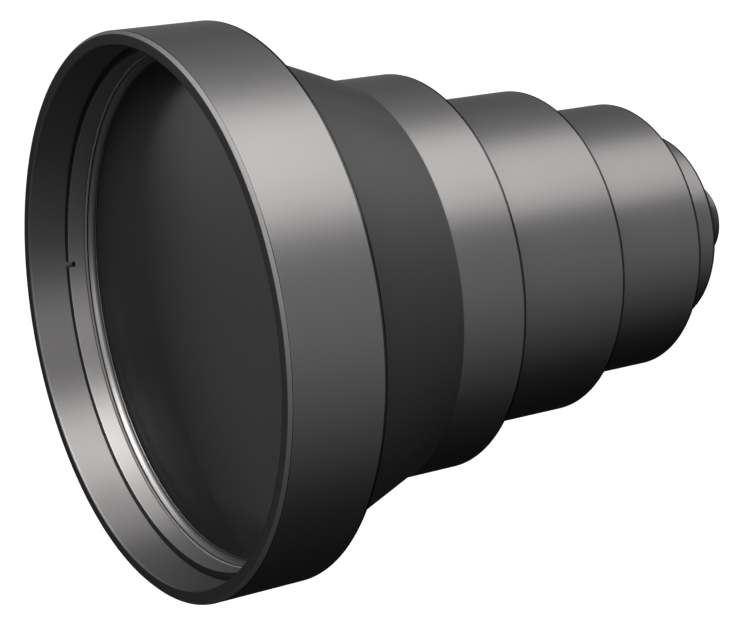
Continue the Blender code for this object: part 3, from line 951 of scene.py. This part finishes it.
new_place = add_node(
    threader, "ShaderNodeCombineXYZ",
    {"X": math_node(threader, "MULTIPLY", nose_axes.outputs["X"], shrink),
     "Y": nose_axes.outputs["Y"],
     "Z": math_node(threader, "MULTIPLY", nose_axes.outputs["Z"], shrink)},
)
threaded = add_node(
    threader, "GeometryNodeSetPosition",
    {"Geometry": thread_by.outputs["Geometry"], "Selection": on_thread,
     "Position": new_place.outputs["Vector"]},
)
end_tree(threader, threaded.outputs["Geometry"], thread_by.outputs["Material"])

THREAD_PITCH = 25.4 / 32.0 * MM
THREAD_DEPTH = 0.43 * MM
THREAD_START = -0.4 * MM
THREAD_STEP = THREAD_PITCH / 10.0
NOSE_INSIDE = 12.0 * MM
NOSE_STATION = 1.0 * MM
NOSE_SIDES = 144


def divide_sides(points, step, first):
    """The outline with extra points on the outer sides that lie behind a station."""
    fine = []
    for here, after in zip(points, points[1:] + points[:1]):
        fine.append(here)
        length = abs(after[1] - here[1])
        outer = min(here[0], after[0]) > NOSE_INSIDE
        if outer and min(here[1], after[1]) > first and length > step:
            parts = math.ceil(length / step)
            for part in range(1, parts):
                share = part / parts
                fine.append(tuple(h + (a - h) * share for h, a in zip(here, after)))
    return fine


corners, is_closed = outline_of("camera_mount")
crest = max(radius for radius, station in corners if station > NOSE_STATION)
print("thread crest radius:", round(crest / MM, 3), "mm")
fine_corners = divide_sides(corners, THREAD_STEP, THREAD_START - CLOSE)
values = lathe_values(fine_corners, FINISHES["mount_black"]) | {"Sides": NOSE_SIDES}
blank_nose = run_tree(lathe, "blank_nose", draw_outline(fine_corners, is_closed), values)
nose = run_tree(threader, "camera_mount_threaded", blank_nose.data, {
    "Pitch": THREAD_PITCH, "Depth": THREAD_DEPTH, "Crest radius": crest, "Start": THREAD_START,
    "Material": FINISHES["mount_black"],
})
bpy.data.objects.remove(blank_nose)
place_piece(nose, "camera_mount")

# %% [markdown]
# The floor is a plain pale sheet that lies well below the lens, as if the lens hung on thin
# threads over white paper, so its shadow stays out of the picture. The camera, and every
# mirror, see the paper and the room as white, whatever light falls on them.

# %% The floor and the world
FLOOR_DROP = 1.1
FLOOR_SIZE = 14.0
WHITE = (1.0, 1.0, 1.0, 1.0)
floor_mesh = bpy.data.meshes.new("floor")
reach = FLOOR_SIZE / 2.0
around_floor = ((-reach, -reach), (reach, -reach), (reach, reach), (-reach, reach))
floor_corners = [(x, y, 0.0) for x, y in around_floor]
floor_mesh.from_pydata(floor_corners, [], [(0, 1, 2, 3)])
floor = new_object("floor", floor_mesh)
floor.location = (0.0, 0.0, -FLOOR_DROP)
floor_look, floor_tree, floor_shader = start_finish("white paper floor", "#e6e6e6", roughness=0.9)
floor_output = find_node(floor_tree, "ShaderNodeOutputMaterial")


def seen_by_eye_or_mirror(tree):
    """Socket that is one for camera, glossy and transmission rays and zero for the others."""
    path = add_node(tree, "ShaderNodeLightPath")
    first = math_node(tree, "MAXIMUM", path.outputs["Is Camera Ray"], path.outputs["Is Glossy Ray"])
    return math_node(tree, "MAXIMUM", first, path.outputs["Is Transmission Ray"])


PAPER_WHITE = 0.96
paper_light = math_node(floor_tree, "MULTIPLY", seen_by_eye_or_mirror(floor_tree), PAPER_WHITE)
paper_white = add_node(
    floor_tree, "ShaderNodeEmission", {"Color": WHITE, "Strength": paper_light}
)
paper_sum = add_node(
    floor_tree, "ShaderNodeAddShader",
    {0: floor_shader.outputs["BSDF"], 1: paper_white.outputs["Emission"]},
)
floor_tree.links.new(paper_sum.outputs["Shader"], floor_output.inputs["Surface"])
floor_mesh.materials.append(floor_look)

ROOM_LIGHT = 0.12
world = bpy.data.worlds.new("white room")
bpy.context.scene.world = world
world.use_nodes = True
world_tree = world.node_tree
background = find_node(world_tree, "ShaderNodeBackground")
background.inputs["Color"].default_value = WHITE
world_tree.links.new(
    math_node(world_tree, "MAXIMUM", seen_by_eye_or_mirror(world_tree), ROOM_LIGHT),
    background.inputs["Strength"],
)
print("floor at", -FLOOR_DROP, "m")

# %% [markdown]
# Black metal shows little of its own, and a great deal of what stands round it. In a studio
# the photographer leaves the white paper on the camera's side and closes in the other sides
# with black cards, so that the underside of the barrel, its cone and the wide glass go dark
# and round. The cards are one wide bowl here, with a flat lower half and a tall upper half.
# Only mirrors see it, as if it were cut out of the picture.

# %% The bowl of cards
BOWL_REACH = 4.0
BOWL_DEPTH = 0.41
BOWL_HEIGHT = 2.5
bowl_mesh = bpy.data.meshes.new("black cards")
bowl_shape = bmesh.new()
bmesh.ops.create_uvsphere(bowl_shape, u_segments=64, v_segments=32, radius=1.0)
for vertex in bowl_shape.verts:
    tall = BOWL_DEPTH if vertex.co.z < 0.0 else BOWL_HEIGHT
    vertex.co = (vertex.co.x * BOWL_REACH, vertex.co.y * BOWL_REACH, vertex.co.z * tall)
bowl_shape.to_mesh(bowl_mesh)
bowl_shape.free()
bowl = new_object("black cards", bowl_mesh)
bowl.visible_camera = False
bowl.visible_diffuse = False
bowl.visible_shadow = False
print("bowl of cards:", len(bowl_mesh.polygons), "faces")

# %% [markdown]
# The bowl is white towards the camera and falls to black downwards and away from it. It is
# pale again above, where the soft lamps hang. A grey card stands behind the lens, which the
# cone mirrors, and another in front of it, which the glass and the flat faces mirror.

# %% The grading of the cards
DARKEST = 0.07
BACK_CARD = 0.16
BACK_GLOW = 0.07
FRONT_CARD = 0.5
CEILING = 0.88
SIDE_LEAST = 0.05
SIDE_POWER = 2.5
CAMERA_SIDE = (0.8, -0.6, 0.0)
BELOW_BAND = (-0.87, 0.0)
SIDE_BAND = (-0.75, 0.14)
AHEAD_BAND = (-0.8, -0.5)
ABOVE_BAND = (-0.2, 0.15)
BACK_BAND = (0.62, 0.9)
cards = bpy.data.materials.new("graded black cards")
cards.use_nodes = True
cards.cycles.emission_sampling = "NONE"
cards_tree = cards.node_tree
cards_tree.nodes.clear()
cards_place = add_node(cards_tree, "ShaderNodeTexCoord")
outward = add_node(
    cards_tree, "ShaderNodeVectorMath", {0: cards_place.outputs["Object"]}, operation="NORMALIZE"
).outputs["Vector"]
outward_axes = add_node(cards_tree, "ShaderNodeSeparateXYZ", {"Vector": outward})
height, along_lens = outward_axes.outputs["Z"], outward_axes.outputs["Y"]
towards_camera = add_node(
    cards_tree, "ShaderNodeVectorMath", {0: outward, 1: CAMERA_SIDE}, operation="DOT_PRODUCT"
).outputs["Value"]


def ramp(value, band, low, high, shape="LINEAR"):
    """Socket that goes from low to high as the value goes through the band."""
    return add_node(
        cards_tree, "ShaderNodeMapRange",
        {"Value": value, "From Min": band[0], "From Max": band[1], "To Min": low, "To Max": high},
        interpolation_type=shape,
    ).outputs["Result"]


below_horizon = ramp(height, BELOW_BAND, DARKEST, 1.0)
falling = math_node(cards_tree, "POWER", ramp(towards_camera, SIDE_BAND, 0.0, 1.0), SIDE_POWER)
sideways = math_node(cards_tree, "MULTIPLY_ADD", falling, 1.0 - SIDE_LEAST, SIDE_LEAST)
ahead = ramp(along_lens, AHEAD_BAND, FRONT_CARD, 1.0)
beside = math_node(cards_tree, "MULTIPLY", sideways, ahead)
above = ramp(height, ABOVE_BAND, 0.0, CEILING, "SMOOTHSTEP")
low_part = math_node(cards_tree, "MULTIPLY", below_horizon, beside)
not_above = math_node(cards_tree, "SUBTRACT", 1.0, above)
both_parts = math_node(cards_tree, "MULTIPLY_ADD", low_part, not_above, above)
behind = ramp(along_lens, BACK_BAND, 1.0, BACK_CARD)
back_glow = ramp(along_lens, BACK_BAND, 0.0, BACK_GLOW)
card_strength = math_node(cards_tree, "MULTIPLY_ADD", both_parts, behind, back_glow)
card_light = add_node(
    cards_tree, "ShaderNodeEmission", {"Color": WHITE, "Strength": card_strength}
)
add_node(cards_tree, "ShaderNodeOutputMaterial", {"Surface": card_light.outputs["Emission"]})
bowl_mesh.materials.append(cards)
print("cards: darkest", DARKEST, "behind", BACK_CARD, "in front", FRONT_CARD, "above", CEILING)

# %% [markdown]
# Four soft lamps, all a little warm. The strip hangs over the right shoulder of the barrel
# and draws the broad light band along every step. The one in front lights the bored walls
# in the mouth and the hollow lip. The high one reaches the top of the chamfer, and the one
# at the side keeps the right half of the mouth from going black.

# %% The lamps
LAMP_WHITE = linear("#fffaf9")[:3]


def softbox(name, place, target, size, power):
    """A soft rectangular lamp, its long side as near to the Y axis as it can be."""
    lamp = bpy.data.lights.new(name, "AREA")
    lamp.shape = "RECTANGLE"
    lamp.size, lamp.size_y = size
    lamp.energy = power
    lamp.color = LAMP_WHITE
    holder = new_object(name, lamp)
    holder.location = place
    back = (Vector(place) - Vector(target)).normalized()
    side = Vector((0.0, 1.0, 0.0)).cross(back).normalized()
    holder.rotation_euler = Matrix((side, back.cross(side), back)).transposed().to_euler()
    print(name, "at", place, "with", power, "W")


softbox(
    "strip softbox", place=(0.28, 0.2, 0.75), target=(0.0, 0.2, 0.0), size=(0.78, 0.8), power=10.6
)
softbox(
    "front softbox", place=(0.2, -0.65, 0.7), target=(-0.04, -0.2, -0.03), size=(0.56, 0.6),
    power=18.0,
)
softbox(
    "high softbox", place=(-0.3, -0.65, 0.85), target=(0.0, -0.2, 0.0), size=(0.5, 0.5), power=6.0
)
softbox(
    "side softbox", place=(0.8, -0.75, 0.2), target=(0.0, -0.2, 0.0), size=(0.5, 0.5), power=4.0
)

# %% [markdown]
# The camera was solved from the circles and straight edges of the photograph. It stands
# in front of the bell, to its right and above, so the mouth opens to the left. The picture
# seems to be a crop from the left half of a wider frame, which would need a lens shift. The
# camera here has none, so that it also serves for other views, and the outline of the bell
# lies up to six pixels inside the photograph's at its upper left.

# %% The camera
AZIMUTH = math.radians(57.61)
ELEVATION = math.radians(17.49)
DISTANCE = 0.654
FOCAL_PIXELS = 2231.0
PICTURE = (739.0, 619.0)
MOUTH_PIXEL = (142.8, 321.1)
SENSOR = 36.0
mouth_centre = Vector((0.0, MODEL_BOX[0][1], 0.0))
level = math.cos(ELEVATION)
forward = Vector((-math.sin(AZIMUTH) * level, math.cos(AZIMUTH) * level, -math.sin(ELEVATION)))
right = Vector((math.cos(AZIMUTH), math.sin(AZIMUTH), 0.0))
down = forward.cross(right)
across = (MOUTH_PIXEL[0] - PICTURE[0] / 2.0) / FOCAL_PIXELS
below = (MOUTH_PIXEL[1] - PICTURE[1] / 2.0) / FOCAL_PIXELS
camera_data = bpy.data.cameras.new("camera")
camera_data.sensor_width = SENSOR
camera_data.lens = SENSOR * FOCAL_PIXELS / PICTURE[0]
camera = new_object("camera", camera_data)
camera.location = mouth_centre - DISTANCE * (right * across + down * below + forward)
camera.rotation_euler = forward.to_track_quat("-Z", "Y").to_euler()
bpy.context.scene.camera = camera
bpy.context.scene.view_settings.view_transform = "Standard"
print("camera at", [round(value, 4) for value in camera.location])
